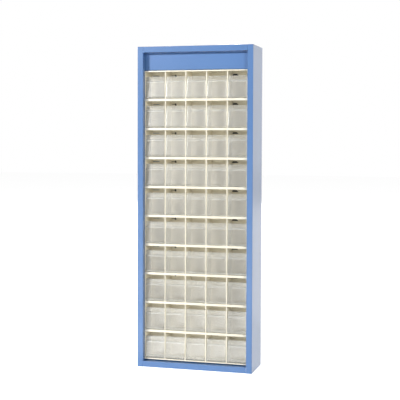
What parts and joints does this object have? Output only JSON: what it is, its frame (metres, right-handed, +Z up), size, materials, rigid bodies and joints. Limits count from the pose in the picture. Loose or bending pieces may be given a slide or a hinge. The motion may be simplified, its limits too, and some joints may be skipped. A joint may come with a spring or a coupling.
{
  "type": "parts bin cabinet",
  "caption": "Tall open-fronted blue steel cabinet holding a stack of ivory housings with rows of clear tip-out parts bins.",
  "frame": {"origin": "middle of the cabinet's footprint on the floor", "axes": "+Z up, the open front faces -Y, +X towards the cabinet's right-hand side as seen from the front"},
  "size_m": [0.666, 0.242, 1.812],
  "materials": {
    "blue_powder_coat": "light blue powder coat on folded sheet steel, satin with a fine orange peel",
    "black_enamel": "black enamel on rolled steel, low satin",
    "ivory_abs": "moulded ivory ABS, satin",
    "clear_polystyrene": "clear moulded polystyrene, glossy"
  },
  "bodies": {
    "cabinet": {"left_side_panel": "blue_powder_coat", "right_side_panel": "blue_powder_coat", "top_panel": "blue_powder_coat", "bottom_panel": "blue_powder_coat", "back_panel": "blue_powder_coat", "mounting_uprights": "black_enamel", "bin_housings": "ivory_abs"},
    "bin_r01_c1": {"bin_r01_c1": "clear_polystyrene"},
    "bin_r01_c2": {"bin_r01_c2": "clear_polystyrene"},
    "bin_r01_c3": {"bin_r01_c3": "clear_polystyrene"},
    "bin_r01_c4": {"bin_r01_c4": "clear_polystyrene"},
    "bin_r01_c5": {"bin_r01_c5": "clear_polystyrene"},
    "bin_r02_c1": {"bin_r02_c1": "clear_polystyrene"},
    "bin_r02_c2": {"bin_r02_c2": "clear_polystyrene"},
    "bin_r02_c3": {"bin_r02_c3": "clear_polystyrene"},
    "bin_r02_c4": {"bin_r02_c4": "clear_polystyrene"},
    "bin_r02_c5": {"bin_r02_c5": "clear_polystyrene"},
    "bin_r03_c1": {"bin_r03_c1": "clear_polystyrene"},
    "bin_r03_c2": {"bin_r03_c2": "clear_polystyrene"},
    "bin_r03_c3": {"bin_r03_c3": "clear_polystyrene"},
    "bin_r03_c4": {"bin_r03_c4": "clear_polystyrene"},
    "bin_r03_c5": {"bin_r03_c5": "clear_polystyrene"},
    "bin_r04_c1": {"bin_r04_c1": "clear_polystyrene"},
    "bin_r04_c2": {"bin_r04_c2": "clear_polystyrene"},
    "bin_r04_c3": {"bin_r04_c3": "clear_polystyrene"},
    "bin_r04_c4": {"bin_r04_c4": "clear_polystyrene"},
    "bin_r04_c5": {"bin_r04_c5": "clear_polystyrene"},
    "bin_r05_c1": {"bin_r05_c1": "clear_polystyrene"},
    "bin_r05_c2": {"bin_r05_c2": "clear_polystyrene"},
    "bin_r05_c3": {"bin_r05_c3": "clear_polystyrene"},
    "bin_r05_c4": {"bin_r05_c4": "clear_polystyrene"},
    "bin_r05_c5": {"bin_r05_c5": "clear_polystyrene"},
    "bin_r06_c1": {"bin_r06_c1": "clear_polystyrene"},
    "bin_r06_c2": {"bin_r06_c2": "clear_polystyrene"},
    "bin_r06_c3": {"bin_r06_c3": "clear_polystyrene"},
    "bin_r06_c4": {"bin_r06_c4": "clear_polystyrene"},
    "bin_r06_c5": {"bin_r06_c5": "clear_polystyrene"},
    "bin_r07_c1": {"bin_r07_c1": "clear_polystyrene"},
    "bin_r07_c2": {"bin_r07_c2": "clear_polystyrene"},
    "bin_r07_c3": {"bin_r07_c3": "clear_polystyrene"},
    "bin_r07_c4": {"bin_r07_c4": "clear_polystyrene"},
    "bin_r07_c5": {"bin_r07_c5": "clear_polystyrene"},
    "bin_r08_c1": {"bin_r08_c1": "clear_polystyrene"},
    "bin_r08_c2": {"bin_r08_c2": "clear_polystyrene"},
    "bin_r08_c3": {"bin_r08_c3": "clear_polystyrene"},
    "bin_r08_c4": {"bin_r08_c4": "clear_polystyrene"},
    "bin_r08_c5": {"bin_r08_c5": "clear_polystyrene"},
    "bin_r09_c1": {"bin_r09_c1": "clear_polystyrene"},
    "bin_r09_c2": {"bin_r09_c2": "clear_polystyrene"},
    "bin_r09_c3": {"bin_r09_c3": "clear_polystyrene"},
    "bin_r09_c4": {"bin_r09_c4": "clear_polystyrene"},
    "bin_r09_c5": {"bin_r09_c5": "clear_polystyrene"},
    "bin_r10_c1": {"bin_r10_c1": "clear_polystyrene"},
    "bin_r10_c2": {"bin_r10_c2": "clear_polystyrene"},
    "bin_r10_c3": {"bin_r10_c3": "clear_polystyrene"},
    "bin_r10_c4": {"bin_r10_c4": "clear_polystyrene"},
    "bin_r10_c5": {"bin_r10_c5": "clear_polystyrene"}
  },
  "joints": [
    {"name": "tip_r01_c1", "type": "hinge", "parent": "cabinet", "child": "bin_r01_c1", "pos_m": [-0.24, -0.0795, 1.532], "axis": [1, 0, 0], "range_deg": [0, 45]},
    {"name": "tip_r01_c2", "type": "hinge", "parent": "cabinet", "child": "bin_r01_c2", "pos_m": [-0.12, -0.0795, 1.532], "axis": [1, 0, 0], "range_deg": [0, 45]},
    {"name": "tip_r01_c3", "type": "hinge", "parent": "cabinet", "child": "bin_r01_c3", "pos_m": [0, -0.0795, 1.532], "axis": [1, 0, 0], "range_deg": [0, 45]},
    {"name": "tip_r01_c4", "type": "hinge", "parent": "cabinet", "child": "bin_r01_c4", "pos_m": [0.12, -0.0795, 1.532], "axis": [1, 0, 0], "range_deg": [0, 45]},
    {"name": "tip_r01_c5", "type": "hinge", "parent": "cabinet", "child": "bin_r01_c5", "pos_m": [0.24, -0.0795, 1.532], "axis": [1, 0, 0], "range_deg": [0, 45]},
    {"name": "tip_r02_c1", "type": "hinge", "parent": "cabinet", "child": "bin_r02_c1", "pos_m": [-0.24, -0.0795, 1.368], "axis": [1, 0, 0], "range_deg": [0, 45]},
    {"name": "tip_r02_c2", "type": "hinge", "parent": "cabinet", "child": "bin_r02_c2", "pos_m": [-0.12, -0.0795, 1.368], "axis": [1, 0, 0], "range_deg": [0, 45]},
    {"name": "tip_r02_c3", "type": "hinge", "parent": "cabinet", "child": "bin_r02_c3", "pos_m": [0, -0.0795, 1.368], "axis": [1, 0, 0], "range_deg": [0, 45]},
    {"name": "tip_r02_c4", "type": "hinge", "parent": "cabinet", "child": "bin_r02_c4", "pos_m": [0.12, -0.0795, 1.368], "axis": [1, 0, 0], "range_deg": [0, 45]},
    {"name": "tip_r02_c5", "type": "hinge", "parent": "cabinet", "child": "bin_r02_c5", "pos_m": [0.24, -0.0795, 1.368], "axis": [1, 0, 0], "range_deg": [0, 45]},
    {"name": "tip_r03_c1", "type": "hinge", "parent": "cabinet", "child": "bin_r03_c1", "pos_m": [-0.24, -0.0795, 1.204], "axis": [1, 0, 0], "range_deg": [0, 45]},
    {"name": "tip_r03_c2", "type": "hinge", "parent": "cabinet", "child": "bin_r03_c2", "pos_m": [-0.12, -0.0795, 1.204], "axis": [1, 0, 0], "range_deg": [0, 45]},
    {"name": "tip_r03_c3", "type": "hinge", "parent": "cabinet", "child": "bin_r03_c3", "pos_m": [0, -0.0795, 1.204], "axis": [1, 0, 0], "range_deg": [0, 45]},
    {"name": "tip_r03_c4", "type": "hinge", "parent": "cabinet", "child": "bin_r03_c4", "pos_m": [0.12, -0.0795, 1.204], "axis": [1, 0, 0], "range_deg": [0, 45]},
    {"name": "tip_r03_c5", "type": "hinge", "parent": "cabinet", "child": "bin_r03_c5", "pos_m": [0.24, -0.0795, 1.204], "axis": [1, 0, 0], "range_deg": [0, 45]},
    {"name": "tip_r04_c1", "type": "hinge", "parent": "cabinet", "child": "bin_r04_c1", "pos_m": [-0.24, -0.0795, 1.04], "axis": [1, 0, 0], "range_deg": [0, 45]},
    {"name": "tip_r04_c2", "type": "hinge", "parent": "cabinet", "child": "bin_r04_c2", "pos_m": [-0.12, -0.0795, 1.04], "axis": [1, 0, 0], "range_deg": [0, 45]},
    {"name": "tip_r04_c3", "type": "hinge", "parent": "cabinet", "child": "bin_r04_c3", "pos_m": [0, -0.0795, 1.04], "axis": [1, 0, 0], "range_deg": [0, 45]},
    {"name": "tip_r04_c4", "type": "hinge", "parent": "cabinet", "child": "bin_r04_c4", "pos_m": [0.12, -0.0795, 1.04], "axis": [1, 0, 0], "range_deg": [0, 45]},
    {"name": "tip_r04_c5", "type": "hinge", "parent": "cabinet", "child": "bin_r04_c5", "pos_m": [0.24, -0.0795, 1.04], "axis": [1, 0, 0], "range_deg": [0, 45]},
    {"name": "tip_r05_c1", "type": "hinge", "parent": "cabinet", "child": "bin_r05_c1", "pos_m": [-0.24, -0.0795, 0.876], "axis": [1, 0, 0], "range_deg": [0, 45]},
    {"name": "tip_r05_c2", "type": "hinge", "parent": "cabinet", "child": "bin_r05_c2", "pos_m": [-0.12, -0.0795, 0.876], "axis": [1, 0, 0], "range_deg": [0, 45]},
    {"name": "tip_r05_c3", "type": "hinge", "parent": "cabinet", "child": "bin_r05_c3", "pos_m": [0, -0.0795, 0.876], "axis": [1, 0, 0], "range_deg": [0, 45]},
    {"name": "tip_r05_c4", "type": "hinge", "parent": "cabinet", "child": "bin_r05_c4", "pos_m": [0.12, -0.0795, 0.876], "axis": [1, 0, 0], "range_deg": [0, 45]},
    {"name": "tip_r05_c5", "type": "hinge", "parent": "cabinet", "child": "bin_r05_c5", "pos_m": [0.24, -0.0795, 0.876], "axis": [1, 0, 0], "range_deg": [0, 45]},
    {"name": "tip_r06_c1", "type": "hinge", "parent": "cabinet", "child": "bin_r06_c1", "pos_m": [-0.24, -0.0795, 0.712], "axis": [1, 0, 0], "range_deg": [0, 45]},
    {"name": "tip_r06_c2", "type": "hinge", "parent": "cabinet", "child": "bin_r06_c2", "pos_m": [-0.12, -0.0795, 0.712], "axis": [1, 0, 0], "range_deg": [0, 45]},
    {"name": "tip_r06_c3", "type": "hinge", "parent": "cabinet", "child": "bin_r06_c3", "pos_m": [0, -0.0795, 0.712], "axis": [1, 0, 0], "range_deg": [0, 45]},
    {"name": "tip_r06_c4", "type": "hinge", "parent": "cabinet", "child": "bin_r06_c4", "pos_m": [0.12, -0.0795, 0.712], "axis": [1, 0, 0], "range_deg": [0, 45]},
    {"name": "tip_r06_c5", "type": "hinge", "parent": "cabinet", "child": "bin_r06_c5", "pos_m": [0.24, -0.0795, 0.712], "axis": [1, 0, 0], "range_deg": [0, 45]},
    {"name": "tip_r07_c1", "type": "hinge", "parent": "cabinet", "child": "bin_r07_c1", "pos_m": [-0.24, -0.0795, 0.548], "axis": [1, 0, 0], "range_deg": [0, 45]},
    {"name": "tip_r07_c2", "type": "hinge", "parent": "cabinet", "child": "bin_r07_c2", "pos_m": [-0.12, -0.0795, 0.548], "axis": [1, 0, 0], "range_deg": [0, 45]},
    {"name": "tip_r07_c3", "type": "hinge", "parent": "cabinet", "child": "bin_r07_c3", "pos_m": [0, -0.0795, 0.548], "axis": [1, 0, 0], "range_deg": [0, 45]},
    {"name": "tip_r07_c4", "type": "hinge", "parent": "cabinet", "child": "bin_r07_c4", "pos_m": [0.12, -0.0795, 0.548], "axis": [1, 0, 0], "range_deg": [0, 45]},
    {"name": "tip_r07_c5", "type": "hinge", "parent": "cabinet", "child": "bin_r07_c5", "pos_m": [0.24, -0.0795, 0.548], "axis": [1, 0, 0], "range_deg": [0, 45]},
    {"name": "tip_r08_c1", "type": "hinge", "parent": "cabinet", "child": "bin_r08_c1", "pos_m": [-0.24, -0.0795, 0.384], "axis": [1, 0, 0], "range_deg": [0, 45]},
    {"name": "tip_r08_c2", "type": "hinge", "parent": "cabinet", "child": "bin_r08_c2", "pos_m": [-0.12, -0.0795, 0.384], "axis": [1, 0, 0], "range_deg": [0, 45]},
    {"name": "tip_r08_c3", "type": "hinge", "parent": "cabinet", "child": "bin_r08_c3", "pos_m": [0, -0.0795, 0.384], "axis": [1, 0, 0], "range_deg": [0, 45]},
    {"name": "tip_r08_c4", "type": "hinge", "parent": "cabinet", "child": "bin_r08_c4", "pos_m": [0.12, -0.0795, 0.384], "axis": [1, 0, 0], "range_deg": [0, 45]},
    {"name": "tip_r08_c5", "type": "hinge", "parent": "cabinet", "child": "bin_r08_c5", "pos_m": [0.24, -0.0795, 0.384], "axis": [1, 0, 0], "range_deg": [0, 45]},
    {"name": "tip_r09_c1", "type": "hinge", "parent": "cabinet", "child": "bin_r09_c1", "pos_m": [-0.24, -0.0795, 0.22], "axis": [1, 0, 0], "range_deg": [0, 45]},
    {"name": "tip_r09_c2", "type": "hinge", "parent": "cabinet", "child": "bin_r09_c2", "pos_m": [-0.12, -0.0795, 0.22], "axis": [1, 0, 0], "range_deg": [0, 45]},
    {"name": "tip_r09_c3", "type": "hinge", "parent": "cabinet", "child": "bin_r09_c3", "pos_m": [0, -0.0795, 0.22], "axis": [1, 0, 0], "range_deg": [0, 45]},
    {"name": "tip_r09_c4", "type": "hinge", "parent": "cabinet", "child": "bin_r09_c4", "pos_m": [0.12, -0.0795, 0.22], "axis": [1, 0, 0], "range_deg": [0, 45]},
    {"name": "tip_r09_c5", "type": "hinge", "parent": "cabinet", "child": "bin_r09_c5", "pos_m": [0.24, -0.0795, 0.22], "axis": [1, 0, 0], "range_deg": [0, 45]},
    {"name": "tip_r10_c1", "type": "hinge", "parent": "cabinet", "child": "bin_r10_c1", "pos_m": [-0.24, -0.0795, 0.056], "axis": [1, 0, 0], "range_deg": [0, 45]},
    {"name": "tip_r10_c2", "type": "hinge", "parent": "cabinet", "child": "bin_r10_c2", "pos_m": [-0.12, -0.0795, 0.056], "axis": [1, 0, 0], "range_deg": [0, 45]},
    {"name": "tip_r10_c3", "type": "hinge", "parent": "cabinet", "child": "bin_r10_c3", "pos_m": [0, -0.0795, 0.056], "axis": [1, 0, 0], "range_deg": [0, 45]},
    {"name": "tip_r10_c4", "type": "hinge", "parent": "cabinet", "child": "bin_r10_c4", "pos_m": [0.12, -0.0795, 0.056], "axis": [1, 0, 0], "range_deg": [0, 45]},
    {"name": "tip_r10_c5", "type": "hinge", "parent": "cabinet", "child": "bin_r10_c5", "pos_m": [0.24, -0.0795, 0.056], "axis": [1, 0, 0], "range_deg": [0, 45]}
  ]
}
